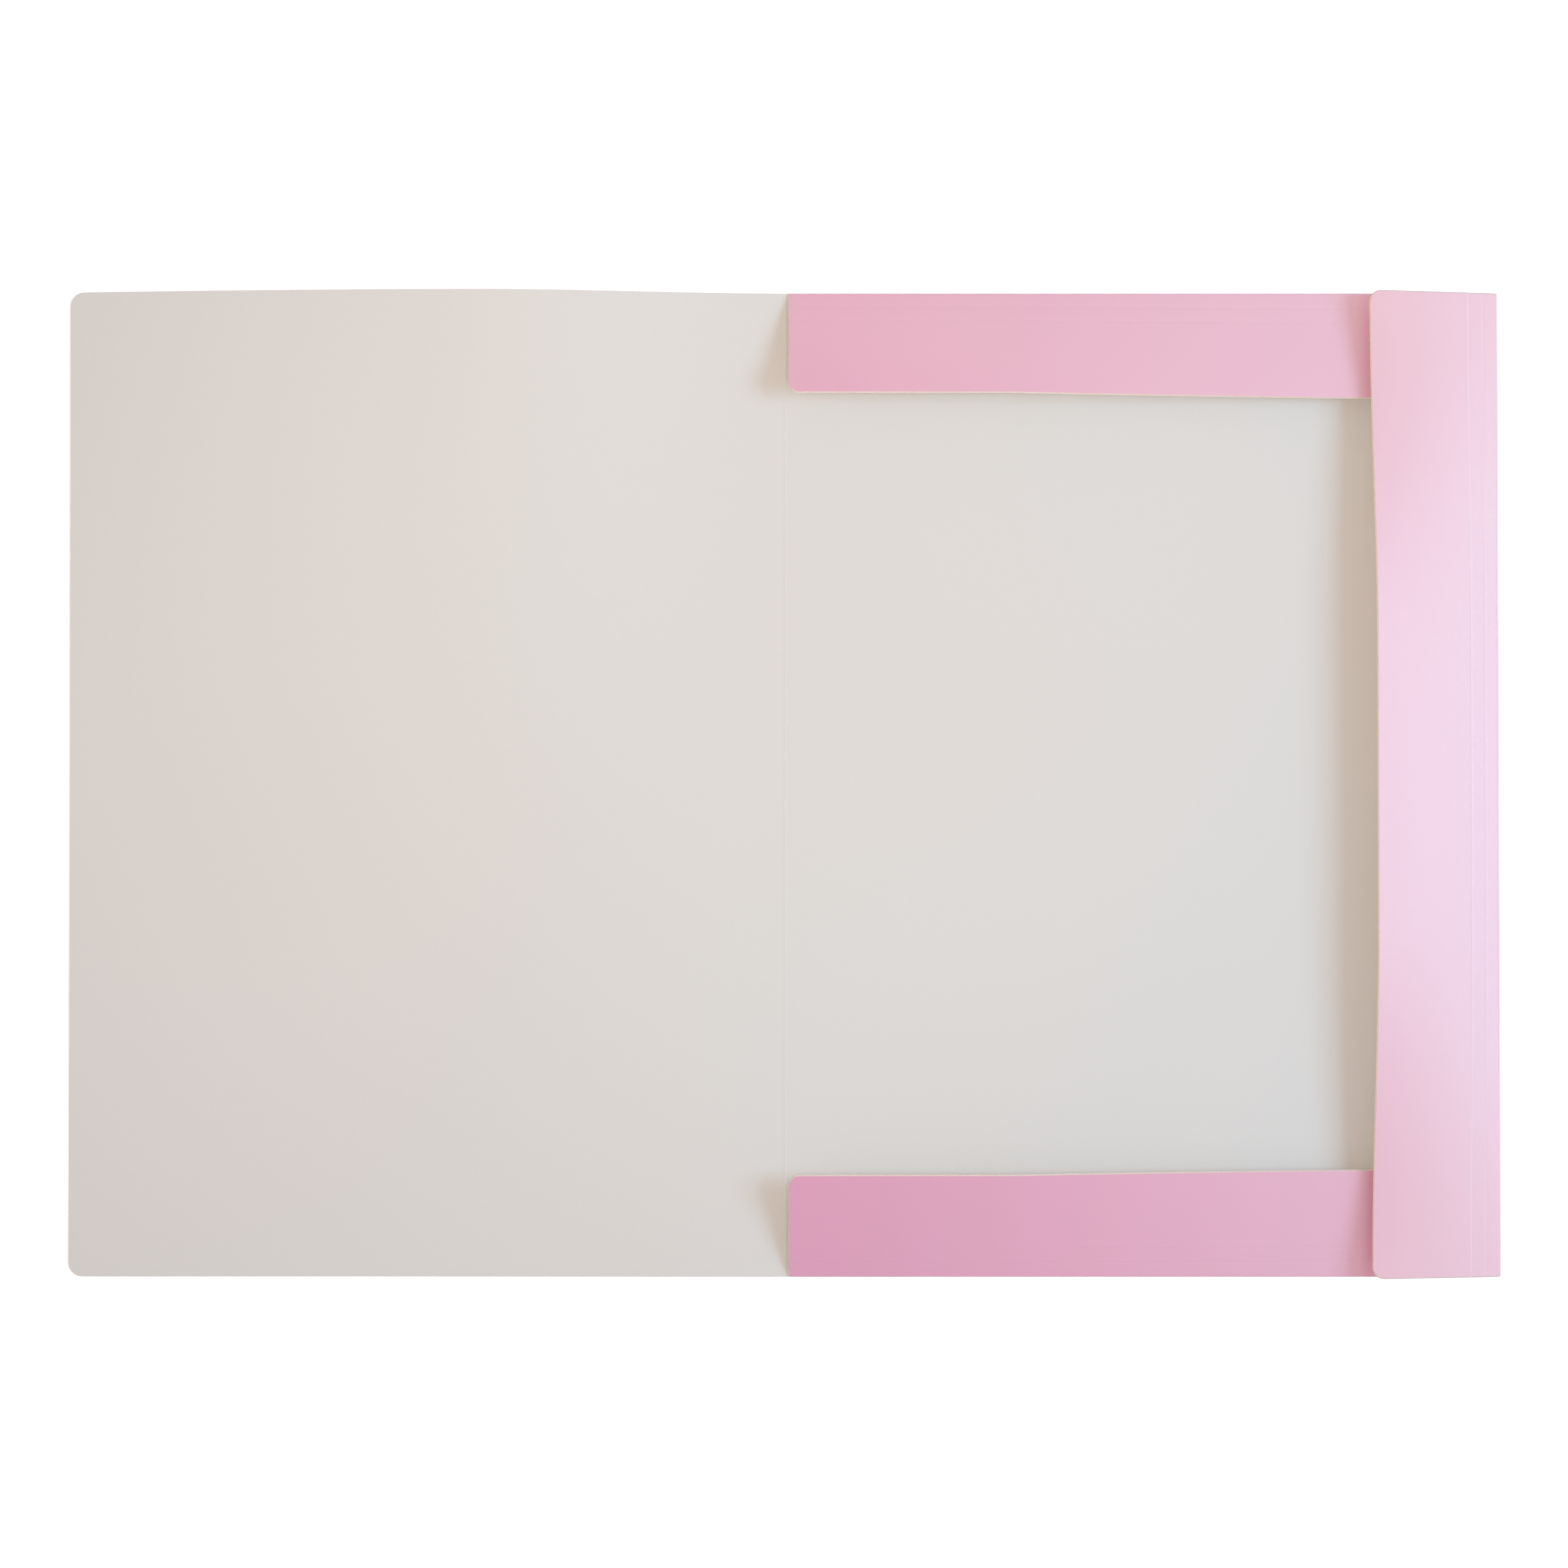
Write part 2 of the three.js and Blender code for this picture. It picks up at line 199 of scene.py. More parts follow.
# Every card piece and band starts as a flat blank. Its corners are counted anticlockwise from the
# lower left one.
LEFT_CORNERS = (0, 3)
RIGHT_CORNERS = (1, 2)


def card_blank(left, right, low, high, rounded=(), radius=0):
    bm = bmesh.new()
    places = ((left, low), (right, low), (right, high), (left, high))
    corners = [bm.verts.new((x, y, 0)) for x, y in places]
    bm.faces.new(corners)
    if rounded:
        bmesh.ops.bevel(
            bm, geom=[corners[i] for i in rounded], offset=radius, offset_type="OFFSET",
            segments=CORNER_FACETS, profile=0.5, affect="VERTICES", material=-1,
        )
    return bm


def cut_across(bm, places, direction):
    for place in places:
        everything = bm.verts[:] + bm.edges[:] + bm.faces[:]
        bmesh.ops.bisect_plane(
            bm, geom=everything, dist=CUT_TOLERANCE, plane_co=direction * place,
            plane_no=direction,
        )


def even_places(start, end, step):
    count = max(int(round((end - start) / step)), 1)
    return [start + (end - start) * i / count for i in range(1, count)]


def score_places(low, high):
    scores = (FIRST_SCORE, SECOND_SCORE)
    places = [score + SCORE_HALF * share for score in scores for share in SCORE_CUTS]
    return [place for place in places if low < place < high]


# The blank gets its thickness upwards from 0, and a material for each of its faces and for its rim.
# Where the card goes on in the next piece, the rim isn't a cut edge, and takes the bare card's
# material.
UPPER_FACE, LOWER_FACE, CUT_EDGE = 0, 1, 2


def thicken(bm, goes_on_at=(), bare_face=CUT_EDGE, thickness=CARD):
    bmesh.ops.recalc_face_normals(bm, faces=bm.faces[:])
    if bm.faces[0].normal.z < 0:
        bmesh.ops.reverse_faces(bm, faces=bm.faces[:])
    bmesh.ops.solidify(bm, geom=bm.faces[:], thickness=thickness)
    lowest = min(vert.co.z for vert in bm.verts)
    bmesh.ops.translate(bm, verts=bm.verts[:], vec=(0, 0, -lowest))
    bm.normal_update()
    for face in bm.faces:
        if face.normal.z > 0.5:
            face.material_index = UPPER_FACE
        elif face.normal.z < -0.5:
            face.material_index = LOWER_FACE
        else:
            middle = face.calc_center_median().x
            joined = any(abs(middle - place) < JOIN_TOLERANCE for place in goes_on_at)
            face.material_index = bare_face if joined else CUT_EDGE


def shaped(bm, place):
    for vert in bm.verts:
        vert.co = place(vert.co.x, vert.co.y, vert.co.z)
    bmesh.ops.recalc_face_normals(bm, faces=bm.faces[:])


SHARPEST_SMOOTH_EDGE = math.radians(35)


def finished_piece(bm, name, materials, nodes):
    for face in bm.faces:
        face.smooth = True
    for edge in bm.edges:
        if len(edge.link_faces) == 2:
            edge.smooth = edge.calc_face_angle(0) < SHARPEST_SMOOTH_EDGE
    mesh = bpy.data.meshes.new(name)
    bm.to_mesh(mesh)
    bm.free()
    for material in materials:
        mesh.materials.append(material)
    piece = bpy.data.objects.new(name, mesh)
    bpy.context.collection.objects.link(piece)
    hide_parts(*nodes)
    return piece


# Most of a noise lies between these two values.
NOISE_LOW, NOISE_HIGH = 0.3, 0.7

# Tones. Where there are two, a noise goes over from one to the other.
CARD_TONES = ((0.750, 0.702, 0.700), (0.740, 0.715, 0.722))
CARD_FLECK = (0.716, 0.684, 0.688)
# The tone of the painted sheen that pales the film, also used for the painted highlight on the
# scores
PAINTED_SHEEN_TONE = (0.880, 0.594, 0.712)
PINK = (0.808, 0.424, 0.558)
LILAC = (0.745, 0.327, 0.506)
# The side flap's copy of the film has its own tones, fitted to the cool key that falls on it:
# painted light on a copy of the one laminate.
SIDE_FLAP_LIGHT_TONED_PINK = (0.772, 0.396, 0.447)
SIDE_FLAP_LIGHT_TONED_LILAC = (0.766, 0.386, 0.455)
EDGE_TONES = ((0.80, 0.63, 0.56), (0.88, 0.73, 0.68))
BAND_TONES = ((0.42, 0.13, 0.22), (0.66, 0.27, 0.40))
CLIP_TONES = ((0.52, 0.52, 0.53), (0.66, 0.66, 0.66))
FLOOR_TONES = ((0.86, 0.86, 0.86), (0.88, 0.88, 0.88))

# Grain: the scale of each texture, per metre. A stretch scales it again along each axis.
DRIFT_GRAIN = 5
CLOUD_GRAIN = 11
FLOOR_GRAIN = 300
WEAVE_GRAIN = 420
RUBBED_GRAIN = 900
FILM_GRAIN = 1800
FIBRE_GRAIN = 2600
LAYER_GRAIN = 3500
FIBRE_STRETCH = (1, 0.35, 1)
LAYER_STRETCH = (0.2, 0.2, 1)

# How strongly the film's clouds and the card's flecks show
CLOUD_SHARE = 0.5
FLECK_SHARE = 0.35

# Shine
CARD_SHINE = 0.35
FILM_SHINE = 0.9
FILM_COAT = 0.55
FILM_SHEEN = 0.2
CARD_ROUGHNESS = 0.68
FILM_ROUGHNESS = 0.42

# How far a painted sheen pales the film over each piece, and how strongly a painted highlight
# lightens each pressed score. Near the side flap's edge the end flaps lose that painted sheen, so
# the strip in the side flap's shadow keeps the film's deeper tone as painted shade.
COVER_PAINTED_SHEEN = 0.2
END_FLAP_PAINTED_SHEEN = 0.4
END_FLAP_SHEEN_FROM = 10 * MM
END_FLAP_SHEEN_TO = 175 * MM
SIDE_SHADOW_FROM = 186.5 * MM
SIDE_SHADOW_RAMP = 3 * MM
SIDE_FLAP_PAINTED_SHEEN = 0.27
SIDE_FLAP_SHEEN_FROM = 190 * MM
SCORE_PAINTED_HIGHLIGHT = 0.3


# Nodes for the finishes
class Finish:
    def __init__(self, name):
        self.material = bpy.data.materials.new(name)
        self.material.use_nodes = True
        self.nodes = self.material.node_tree.nodes
        self.links = self.material.node_tree.links
        self.shader = self.nodes["Principled BSDF"]
        self.spot = self.nodes.new("ShaderNodeTexCoord").outputs["Object"]

    def put(self, socket, value):
        self.shader.inputs[socket].default_value = value

    def join(self, output, socket):
        self.links.new(output, self.shader.inputs[socket])

    def noise(self, grain, detail=2.0, roughness=0.5, stretch=(1, 1, 1)):
        mapping = self.nodes.new("ShaderNodeMapping")
        mapping.inputs["Scale"].default_value = stretch
        self.links.new(self.spot, mapping.inputs["Vector"])
        noise = self.nodes.new("ShaderNodeTexNoise")
        noise.inputs["Scale"].default_value = grain
        noise.inputs["Detail"].default_value = detail
        noise.inputs["Roughness"].default_value = roughness
        self.links.new(mapping.outputs["Vector"], noise.inputs["Vector"])
        return noise.outputs["Fac"]

    def ramp(self, source, tones, start=NOISE_LOW, end=NOISE_HIGH):
        ramp = self.nodes.new("ShaderNodeValToRGB")
        for stop, at, tone in zip(ramp.color_ramp.elements, (start, end), tones):
            stop.position = at
            stop.color = (*tone, 1)
        self.links.new(source, ramp.inputs["Fac"])
        return ramp.outputs["Color"]

    def mix(self, share, first, second):
        mix = self.nodes.new("ShaderNodeMix")
        mix.data_type = "RGBA"
        self.links.new(share, mix.inputs["Factor"])
        for source, socket in ((first, mix.inputs["A"]), (second, mix.inputs["B"])):
            if isinstance(source, tuple):
                socket.default_value = (*source, 1)
            else:
                self.links.new(source, socket)
        return mix.outputs["Result"]

    def maths(self, operation, *values):
        node = self.nodes.new("ShaderNodeMath")
        node.operation = operation
        for value, socket in zip(values, node.inputs):
            if isinstance(value, float):
                socket.default_value = value
            else:
                self.links.new(value, socket)
        return node.outputs["Value"]

    # From low to high while the source goes from start to end
    def span(self, source, start, end, low=0.0, high=1.0):
        spread = self.nodes.new("ShaderNodeMapRange")
        spread.inputs["From Min"].default_value = start
        spread.inputs["From Max"].default_value = end
        spread.inputs["To Min"].default_value = low
        spread.inputs["To Max"].default_value = high
        self.links.new(source, spread.inputs["Value"])
        return spread.outputs["Result"]

    def spread_noise(self, source, low, high):
        return self.span(source, NOISE_LOW, NOISE_HIGH, low, high)

    def place_on_sheet(self):
        place = self.nodes.new("ShaderNodeSeparateXYZ")
        self.links.new(self.spot, place.inputs["Vector"])
        return place.outputs

    # Bare card's tone drifts slowly, and its fibres are darker.
    def flecked_card(self, fibre):
        base = self.ramp(self.noise(DRIFT_GRAIN, detail=1), CARD_TONES)
        return self.mix(self.spread_noise(fibre, 0.0, FLECK_SHARE), base, CARD_FLECK)

    # The film goes over from its upper tone at the top of the sheet to its lower tone, in slow
    # clouds.
    # A painted sheen pales it from left to right. Where a shadow's edge is given, the painted sheen
    # stops there, and the film beyond it keeps its deeper tone as painted shade.
    def film_tone_and_painted_sheen(self, upper, lower, left, right, painted_sheen, shadow_from=None):
        place = self.place_on_sheet()
        sheen_share = self.span(place["X"], left, right, 0.0, painted_sheen)
        # Painted shade: the painted sheen fades out over the strip where the side flap's shadow
        # falls.
        if shadow_from is not None:
            out_of_shadow = self.span(place["X"], shadow_from + SIDE_SHADOW_RAMP, shadow_from)
            sheen_share = self.maths("MULTIPLY", sheen_share, out_of_shadow)
        down = self.span(place["Y"], SHEET_TOP, -SHEET_TOP)
        clouded = self.maths("MULTIPLY_ADD", self.noise(CLOUD_GRAIN), CLOUD_SHARE, down)
        share = self.spread_noise(clouded, 0.0, 1.0)
        return self.mix(sheen_share, self.mix(share, upper, lower), PAINTED_SHEEN_TONE)

    # A painted highlight along each pressed score: the film is lightened there towards the painted
    # sheen's tone.
    def score_painted_highlight(self, film, score_highlight):
        pressed = self.nodes.new("ShaderNodeAttribute")
        pressed.attribute_name = "pressed"
        return self.mix(self.maths("MULTIPLY", pressed.outputs["Fac"], score_highlight), film, PAINTED_SHEEN_TONE)

    def film_gloss(self):
        self.put("Coat Roughness", 0.40)
        self.put("Sheen Roughness", 0.45)
        self.put("Sheen Tint", (0.86, 0.84, 1.0, 1))

    def bump(self, height, depth, strength):
        bump = self.nodes.new("ShaderNodeBump")
        bump.inputs["Strength"].default_value = strength
        bump.inputs["Distance"].default_value = depth
        self.links.new(height, bump.inputs["Height"])
        self.join(bump.outputs["Normal"], "Normal")


def bare_card():
    finish = Finish("bare_card_inside")
    fibre = finish.noise(FIBRE_GRAIN, roughness=0.6, stretch=FIBRE_STRETCH)
    finish.join(finish.flecked_card(fibre), "Base Color")
    finish.join(finish.spread_noise(fibre, 0.62, 0.74), "Roughness")
    finish.put("Specular IOR Level", CARD_SHINE)
    finish.bump(fibre, depth=0.02 * MM, strength=0.5)
    return finish.material


def pearl_laminate(name, upper, lower, left, right, painted_sheen, score_highlight=0.0, shadow_from=None):
    finish = Finish(name)
    grain = finish.noise(FILM_GRAIN, roughness=0.6)
    film = finish.film_tone_and_painted_sheen(upper, lower, left, right, painted_sheen, shadow_from)
    finish.join(finish.score_painted_highlight(film, score_highlight), "Base Color")
    finish.join(finish.spread_noise(grain, 0.38, 0.46), "Roughness")
    finish.put("Specular IOR Level", FILM_SHINE)
    finish.put("Coat Weight", FILM_COAT)
    finish.put("Sheen Weight", FILM_SHEEN)
    finish.film_gloss()
    finish.bump(grain, depth=0.01 * MM, strength=0.35)
    return finish.material


def cut_edge():
    finish = Finish("cream_cut_edge")
    layers = finish.noise(LAYER_GRAIN, roughness=0.6, stretch=LAYER_STRETCH)
    finish.join(finish.ramp(layers, EDGE_TONES), "Base Color")
    finish.put("Roughness", 0.8)
    finish.bump(layers, depth=0.03 * MM, strength=0.5)
    return finish.material


# The back cover stays as the part's solid, which takes one material: bare card, with film on its
# outside.
def two_faced_card():
    finish = Finish("card_with_laminated_outside")
    outside = finish.maths("LESS_THAN", finish.place_on_sheet()["Z"], OUTER_FACE + FACE_TOLERANCE)
    fibre = finish.noise(FIBRE_GRAIN, roughness=0.6, stretch=FIBRE_STRETCH)
    # Its film pales from left to right with a painted sheen.
    film = finish.film_tone_and_painted_sheen(PINK, LILAC, COVER_LEFT, SIDE_FOLD.x, COVER_PAINTED_SHEEN)
    finish.join(finish.mix(outside, finish.flecked_card(fibre), film), "Base Color")
    for socket, on_the_bare_card, on_the_film in (
        ("Roughness", CARD_ROUGHNESS, FILM_ROUGHNESS),
        ("Specular IOR Level", CARD_SHINE, FILM_SHINE),
        ("Coat Weight", 0.0, FILM_COAT),
        ("Sheen Weight", 0.0, FILM_SHEEN),
    ):
        finish.join(finish.spread_noise(outside, on_the_bare_card, on_the_film), socket)
    finish.film_gloss()
    finish.bump(fibre, depth=0.02 * MM, strength=0.4)
    return finish.material


def woven_elastic():
    finish = Finish("pink_woven_elastic")
    weave = finish.nodes.new("ShaderNodeTexWave")
    weave.wave_type = "BANDS"
    weave.bands_direction = "DIAGONAL"
    weave.inputs["Scale"].default_value = WEAVE_GRAIN
    weave.inputs["Distortion"].default_value = 0.6
    finish.links.new(finish.spot, weave.inputs["Vector"])
    finish.join(finish.ramp(weave.outputs["Fac"], BAND_TONES, 0.0, 1.0), "Base Color")
    finish.put("Roughness", 0.85)
    finish.put("Sheen Weight", 0.4)
    finish.bump(weave.outputs["Fac"], depth=0.12 * MM, strength=0.8)
    return finish.material


def plated_clip():
    finish = Finish("nickel_plated_clip")
    rub = finish.noise(RUBBED_GRAIN, detail=3, roughness=0.6)
    finish.join(finish.ramp(rub, CLIP_TONES), "Base Color")
    finish.put("Metallic", 1.0)
    finish.join(finish.spread_noise(rub, 0.22, 0.4), "Roughness")
    finish.bump(rub, depth=0.02 * MM, strength=0.3)
    return finish.material


bare = bare_card()
# The covers' film pales from left to right with a painted sheen.
cover_film = pearl_laminate(
    "pearl_laminate_on_the_covers", PINK, LILAC, COVER_LEFT, SIDE_FOLD.x, COVER_PAINTED_SHEEN,
)
# The end flaps' film pales with a painted sheen that stops short of the side flap's edge, so its
# shadow strip keeps the deeper tone as painted shade.
end_flap_film = pearl_laminate(
    "pearl_laminate_on_the_end_flaps", PINK, LILAC, END_FLAP_SHEEN_FROM, END_FLAP_SHEEN_TO,
    END_FLAP_PAINTED_SHEEN, shadow_from=SIDE_SHADOW_FROM,
)
# The side flap's film pales towards its fold with a painted sheen, and its scores carry a painted
# highlight.
side_flap_film = pearl_laminate(
    "pearl_laminate_on_the_side_flap", SIDE_FLAP_LIGHT_TONED_PINK, SIDE_FLAP_LIGHT_TONED_LILAC, SIDE_FLAP_SHEEN_FROM, SIDE_FOLD.x,
    SIDE_FLAP_PAINTED_SHEEN, SCORE_PAINTED_HIGHLIGHT,
)
edge = cut_edge()
elastic = woven_elastic()
steel = plated_clip()
panel = two_faced_card()


# Front cover: bare card above, laminate below, sprung up along its top edge.
def front_cover():
    right = SPINE - BEAD_REACH
    bm = card_blank(COVER_LEFT, right, -SHEET_TOP, SHEET_TOP, LEFT_CORNERS, COVER_CORNER)
    cut_across(bm, even_places(COVER_LEFT, right, COVER_STEP_ACROSS), ALONG_X)
    cut_across(bm, even_places(-SHEET_TOP, SHEET_TOP, COVER_STEP_UP), ALONG_Y)
    thicken(bm, (right,), UPPER_FACE)
    shaped(bm, lambda x, y, z: Vector((x, y, OUTER_FACE + z + cover_bow(x, y))))
    sheet = finished_piece(
        bm, "front_cover_sheet", (bare, cover_film, edge), ("front_cover",),
    )
    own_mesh(sheet)
    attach(sheet, "front_cover")


def spine_bead():
    left, right = SPINE - BEAD_REACH, SPINE + BEAD_REACH
    bm = card_blank(left, right, -SHEET_TOP, SHEET_TOP)
    cut_across(bm, even_places(left, right, BEAD_STEP_ACROSS), ALONG_X)
    cut_across(bm, even_places(-SHEET_TOP, SHEET_TOP, BEAD_STEP_UP), ALONG_Y)
    thicken(bm, (left, right), UPPER_FACE)

    def bead(x, y, z):
        slope = BEAD_STEEP if x > SPINE else BEAD_GENTLE
        share = min(abs(x - SPINE) / slope, 1)
        rise = BEAD_HEIGHT * (0.5 + 0.5 * math.cos(math.pi * share))
        return Vector((x, y, OUTER_FACE + z + rise))

    shaped(bm, bead)
    strip = finished_piece(
        bm, "spine_bead", (bare, cover_film, edge), ("spine_crease",),
    )
    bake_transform(strip)


# Die-cut edges lean inwards as they rise, so a flap's outline shows its cream core from above.
def leaning_cut(place, height, low_edge, high_edge):
    lean = CUT_LEAN * height / CARD
    low_share = 1 - smooth(low_edge, low_edge + FLAP_CORNER, place)
    return place + lean * (low_share - smooth(high_edge - FLAP_CORNER, high_edge, place))


# A point of folded card, as its way inwards and up from the fold's middle. Its distance along the
# card is past 0 on the flap, and below 0 round the fold and then on the cover. Its height is
# counted from the card's inside face.
def fold_point(distance, height, lift):
    radius = FOLD_INSIDE + height
    if distance >= 0:
        angle = math.pi / 2 + lift
        return (
            radius * math.cos(angle) + distance * math.cos(lift),
            radius * math.sin(angle) + distance * math.sin(lift),
        )
    turn = min(-distance / FOLD_ARC, 1)
    angle = math.pi / 2 + lift + turn * (math.pi - lift)
    leg = max(-distance - FOLD_ARC, 0)
    return radius * math.cos(angle) + leg, radius * math.sin(angle)


# How far a place is pressed: 1 in a score's middle, and 0 outside the scores
def score_share(distance):
    share = 0
    for score in (FIRST_SCORE, SECOND_SCORE):
        slope = SCORE_HALF if distance > score else 2 * SCORE_HALF
        share += max(1 - abs(distance - score) / slope, 0)
    return share


def pressed_score(distance, height):
    return height - SCORE_DEPTH * score_share(distance)


# The film's material reads this to put a painted highlight along the scores.
def mark_scores(bm):
    pressed = bm.verts.layers.float.new("pressed")
    for vert in bm.verts:
        vert[pressed] = score_share(vert.co.x)


# The strip round a fold, from the cover to the first score, and the flap from there to its free
# edge. Both are cut flat, with x from the fold inwards and y along it, and then folded by place.
def folded_card(name, start, end, reach, place, nodes, bodies, film):
    root_body, edge_body, flap_body = bodies
    materials = (film, bare, edge)
    along_the_fold = even_places(start, end, FLAP_STEP_ALONG)
    strip_start = -FOLD_ARC - COVER_LEG
    strip_end = FIRST_SCORE - SCORE_GAP
    bm = card_blank(strip_start, strip_end, start, end)
    cut_across(bm, even_places(-FOLD_ARC, 0, FOLD_ARC / FOLD_FACETS), ALONG_X)
    cut_across(bm, [-FOLD_ARC, 0, FOLD_STEP_AFTER] + score_places(0, strip_end), ALONG_X)
    cut_across(bm, along_the_fold, ALONG_Y)
    thicken(bm, (strip_start, strip_end), LOWER_FACE)
    mark_scores(bm)
    shaped(bm, place)
    strip = finished_piece(bm, name + "_fold_strip", materials, nodes[:1])
    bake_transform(strip)

    flap_start = FIRST_SCORE + SCORE_GAP
    bm = card_blank(flap_start, reach, start, end, RIGHT_CORNERS, FLAP_CORNER)
    cut_across(bm, score_places(flap_start, reach), ALONG_X)
    cut_across(bm, even_places(SECOND_SCORE + 3 * SCORE_HALF, reach, FLAP_STEP_INWARDS), ALONG_X)
    cut_across(bm, along_the_fold, ALONG_Y)
    thicken(bm, (flap_start,), LOWER_FACE)
    mark_scores(bm)
    shaped(bm, place)
    flap = finished_piece(bm, name + "_flap_sheet", materials, nodes[1:])
    return flap, flap_body


def end_flap(name, side):
    def place(distance, x, height):
        along = leaning_cut(distance, height, -FLAP_DEPTH, FLAP_DEPTH)
        across = leaning_cut(x, height, END_FLAP_LEFT, END_FLAP_RIGHT)
        inwards, up = fold_point(along, pressed_score(distance, height), flap_lift(x))
        return Vector((across, side * (FLAP_FOLD.y - inwards), FLAP_FOLD.z + up))

    nodes = (name + "_fold_edge", name + "_flap", name + "_flap_tuck")
    bodies = ("root", name + "_fold_edge", name + "_flap")
    flap, body = folded_card(
        name, END_FLAP_LEFT, END_FLAP_RIGHT, FLAP_DEPTH, place, nodes, bodies,
        end_flap_film,
    )
    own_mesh(flap)
    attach(flap, body)


def side_flap():
    def place(distance, y, height):
        along = leaning_cut(distance, height, -SIDE_WIDTH, SIDE_WIDTH)
        across = leaning_cut(y, height, -SHEET_TOP, SHEET_TOP)
        inwards, up = fold_point(along, pressed_score(distance, height), side_lift(y))
        return Vector((SIDE_FOLD.x - inwards, across, SIDE_FOLD.z + up))

    nodes = ("side_fold_edge", "side_flap")
    bodies = ("root", "side_fold_edge", "side_flap")
    flap, body = folded_card(
        "side", -SHEET_TOP, SHEET_TOP, SIDE_WIDTH, place, nodes, bodies,
        side_flap_film,
    )
    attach(flap, body)


# A corner elastic: a ribbed woven band flat under the back cover, from clip to clip, its ends
# turned up through their slots. Its blank has x along the band, from 0 where the first bend ends.
def corner_elastic(name):
    ends = [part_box(name + "_elastic_" + end + "_clip") for end in ("spine_end", "side_end")]
    first, last = [(low + high) / 2 for low, high in ends]
    along = Vector((last.x - first.x, last.y - first.y, 0))
    length = along.length
    along.normalize()
    across = Vector((-along.y, along.x, 0))
    bend = BEND_INSIDE + BAND_THICK / 2
    flat = length - 2 * bend
    quarter = bend * math.pi / 2
    tab = INNER_FACE - BAND_THICK / 2 - bend

    half_width = BAND_WIDTH / 2
    bm = card_blank(-tab - quarter, flat + quarter + tab, -half_width, half_width)
    cut_across(bm, even_places(-quarter, 0, quarter / BEND_FACETS), ALONG_X)
    cut_across(bm, even_places(flat, flat + quarter, quarter / BEND_FACETS), ALONG_X)
    bend_ends = [-quarter, 0, flat, flat + quarter]
    cut_across(bm, bend_ends + even_places(0, flat, BAND_STEP), ALONG_X)
    cut_across(bm, even_places(-half_width, half_width, BAND_WIDTH / BAND_COLUMNS), ALONG_Y)
    thicken(bm, thickness=BAND_THICK)

    def place(distance, sideways, height):
        outwards = abs(sideways) / half_width
        edge_round = 1 - BAND_EDGE_THINNING * smooth(BAND_EDGE_FROM, 1.0, outwards)
        ribbing = 0.5 - 0.5 * math.cos(2 * math.pi * BAND_RIBS * sideways / BAND_WIDTH)
        off_middle = (height - BAND_THICK / 2) * edge_round * (1 - RIB_DEPTH * ribbing)
        past = max(-distance, distance - flat, 0)
        turn = min(past / quarter, 1) * math.pi / 2
        up = max(past - quarter, 0)
        out = (bend - off_middle) * math.sin(turn)
        rise = bend - (bend - off_middle) * math.cos(turn) + up
        middle = min(max(distance, 0), flat) + bend
        way = -1 if distance < flat / 2 else 1
        spot = first + along * (middle + way * out) + across * sideways
        return Vector((spot.x, spot.y, BAND_THICK / 2 + rise))

    shaped(bm, place)
    band = finished_piece(
        bm, name + "_corner_elastic_band", (elastic,) * 3,
        (name + "_corner_elastic",),
    )
    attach(band, "root")


front_cover()
spine_bead()
end_flap("top", 1)
end_flap("bottom", -1)
side_flap()
corner_elastic("top")
corner_elastic("bottom")

# The solids that stay: the back cover and the four clips
for node_name, node in frame["nodes"].items():
    if node_name == "back_cover" or node_name.endswith("_clip"):
        node.data.materials.clear()
        node.data.materials.append(panel if node_name == "back_cover" else steel)

# The stage
FLOOR_HALF = 8
FLOOR_GLOW = 0.6
ROOM_TONE = (0.985, 0.93, 0.94)
ROOM_STRENGTH = 0.43
WHITE = (1, 1, 1, 1)


# The camera's rays, and those that gloss and clear things send on, see a white stage. It lights
# nothing: all other rays see the soft room.
def rays_that_see_white(nodes, links):
    rays = nodes.new("ShaderNodeLightPath")
    seen = rays.outputs["Is Camera Ray"]
    for kind in ("Is Glossy Ray", "Is Transmission Ray"):
        either = nodes.new("ShaderNodeMath")
        either.operation = "MAXIMUM"
        links.new(seen, either.inputs[0])
        links.new(rays.outputs[kind], either.inputs[1])
        seen = either.outputs["Value"]
    return seen


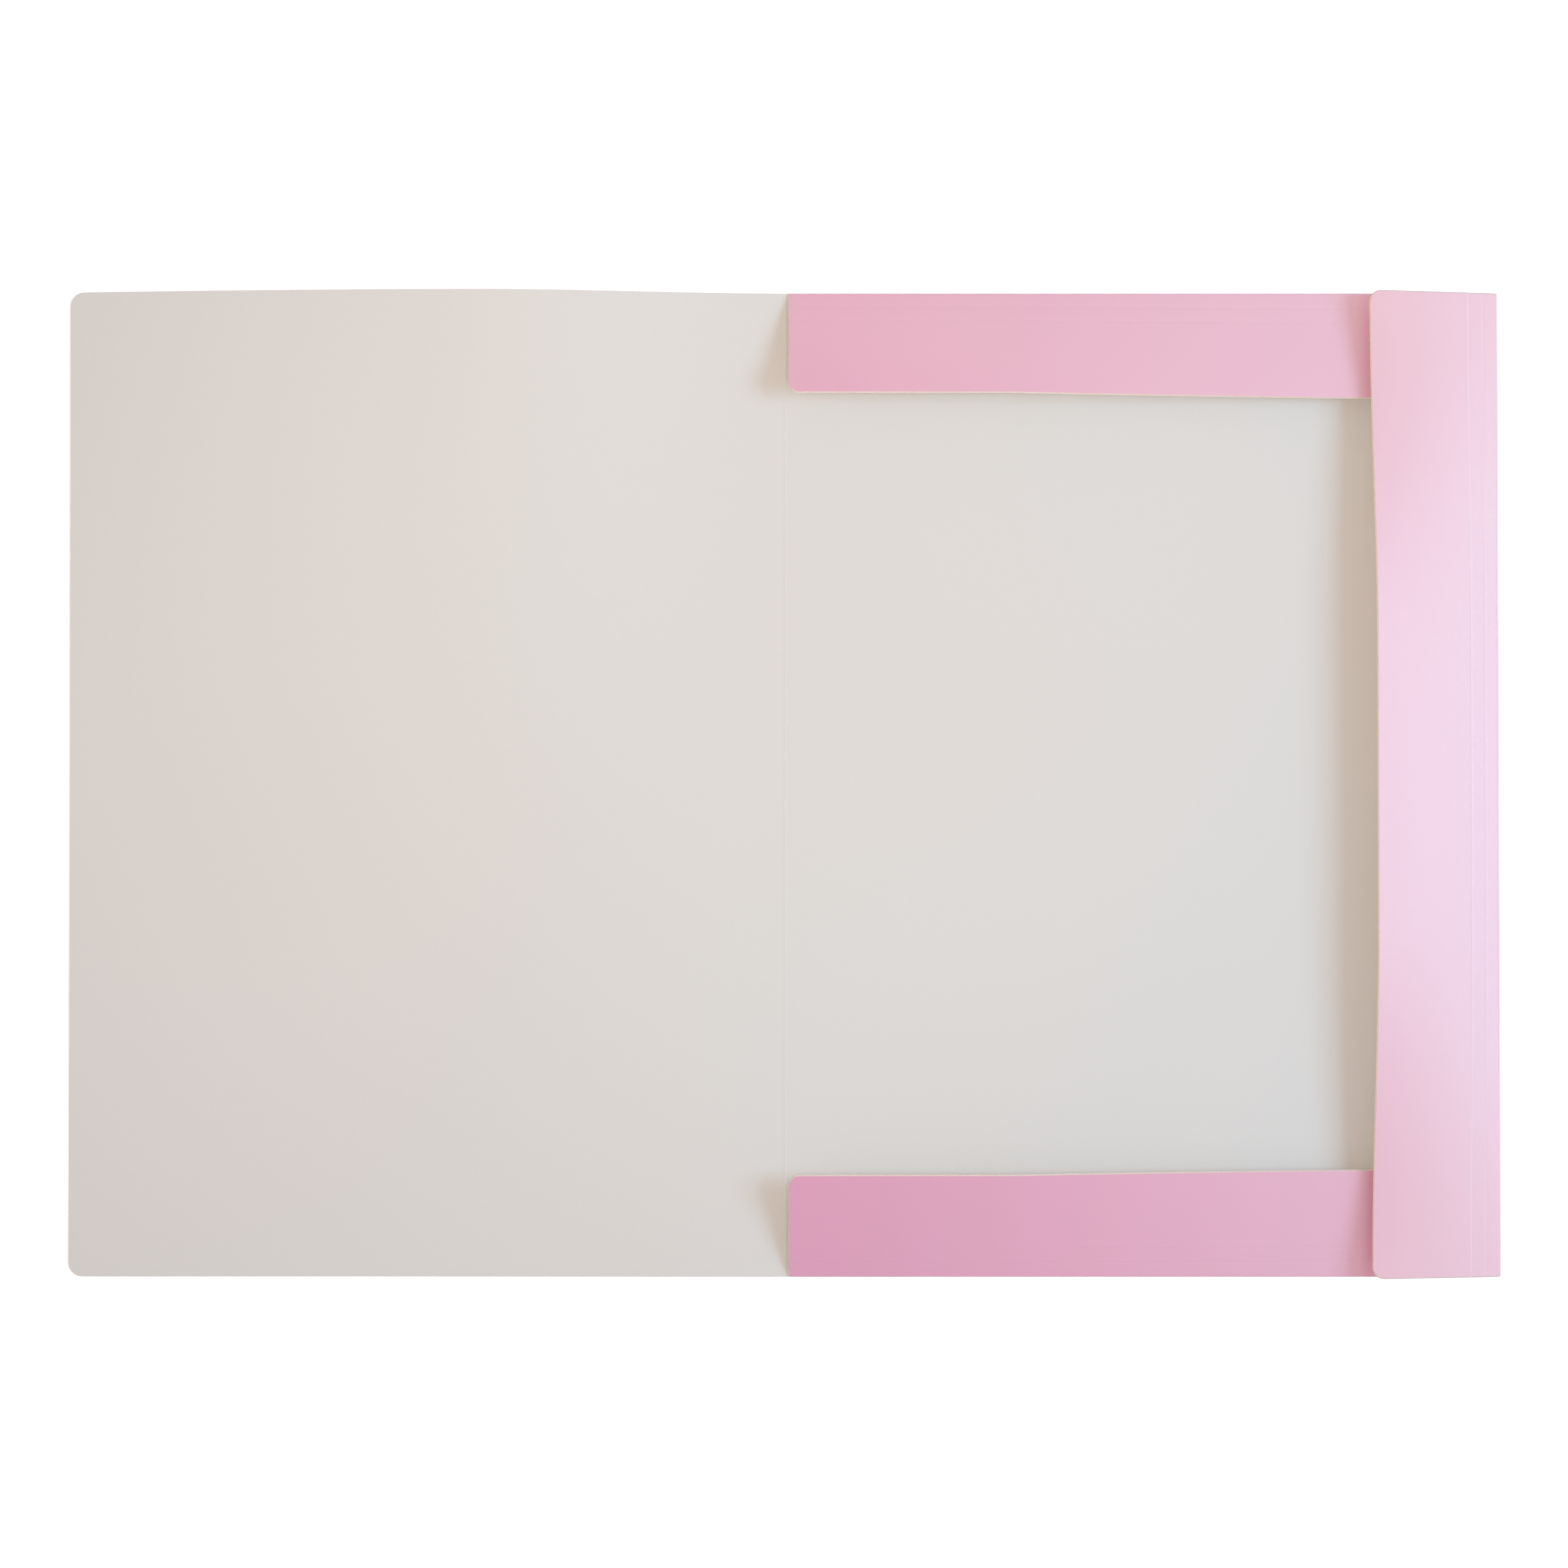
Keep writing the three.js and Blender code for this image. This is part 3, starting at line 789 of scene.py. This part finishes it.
# A white floor that takes the shadows
def white_floor():
    bm = bmesh.new()
    bmesh.ops.create_grid(bm, x_segments=1, y_segments=1, size=FLOOR_HALF)
    mesh = bpy.data.meshes.new("floor")
    bm.to_mesh(mesh)
    bm.free()
    floor = bpy.data.objects.new("floor", mesh)
    bpy.context.collection.objects.link(floor)
    paper = Finish("white_floor")
    paper.join(paper.ramp(paper.noise(FLOOR_GRAIN), FLOOR_TONES), "Base Color")
    paper.put("Roughness", 0.9)
    paper.put("Specular IOR Level", 0.1)
    glow = paper.nodes.new("ShaderNodeEmission")
    glow.inputs["Color"].default_value = WHITE
    seen = rays_that_see_white(paper.nodes, paper.links)
    paper.links.new(paper.maths("MULTIPLY", seen, FLOOR_GLOW), glow.inputs["Strength"])
    both = paper.nodes.new("ShaderNodeAddShader")
    paper.links.new(paper.shader.outputs["BSDF"], both.inputs[0])
    paper.links.new(glow.outputs["Emission"], both.inputs[1])
    paper.links.new(both.outputs["Shader"], paper.nodes["Material Output"].inputs["Surface"])
    mesh.materials.append(paper.material)


def soft_lamp(name, place, target, size, power, colour):
    lamp = bpy.data.lights.new(name, "AREA")
    lamp.color = colour
    lamp.shape = "SQUARE"
    lamp.size = size
    lamp.energy = power
    holder = bpy.data.objects.new(name, lamp)
    holder.location = place
    towards = Vector(target) - Vector(place)
    holder.rotation_euler = towards.to_track_quat("-Z", "Y").to_euler()
    bpy.context.collection.objects.link(holder)


def studio():
    world = bpy.data.worlds.new("studio")
    bpy.context.scene.world = world
    world.use_nodes = True
    nodes = world.node_tree.nodes
    links = world.node_tree.links
    soft_room = nodes["Background"]
    soft_room.inputs["Color"].default_value = (*ROOM_TONE, 1)
    soft_room.inputs["Strength"].default_value = ROOM_STRENGTH
    white = nodes.new("ShaderNodeBackground")
    white.inputs["Color"].default_value = WHITE
    choice = nodes.new("ShaderNodeMixShader")
    links.new(rays_that_see_white(nodes, links), choice.inputs["Fac"])
    links.new(soft_room.outputs["Background"], choice.inputs[1])
    links.new(white.outputs["Background"], choice.inputs[2])
    links.new(choice.outputs["Shader"], nodes["World Output"].inputs["Surface"])
    soft_lamp(
        "overhead", place=(-0.05, -0.02, 0.78), target=(-0.05, 0.5, 0), size=0.28, power=3.15,
        colour=(1.0, 0.84, 0.60),
    )
    soft_lamp(
        "key_from_the_right", place=(1.09, 0.05, 0.95), target=(0.15, 0, 0), size=0.6, power=8.8,
        colour=(0.45, 0.78, 1.0),
    )


def photo_camera():
    lens = bpy.data.cameras.new("photo_camera")
    lens.sensor_width = SENSOR
    lens.lens = SENSOR * CAMERA_DISTANCE / TABLE_WIDTH_SEEN
    camera = bpy.data.objects.new("photo_camera", lens)
    tilt = math.radians(CAMERA_TILT)
    camera.location = (0, -CAMERA_DISTANCE * math.sin(tilt), CAMERA_DISTANCE * math.cos(tilt))
    camera.rotation_euler = (tilt, 0, 0)
    bpy.context.collection.objects.link(camera)
    bpy.context.scene.camera = camera


white_floor()
studio()
photo_camera()
bpy.context.scene.view_settings.view_transform = "Standard"
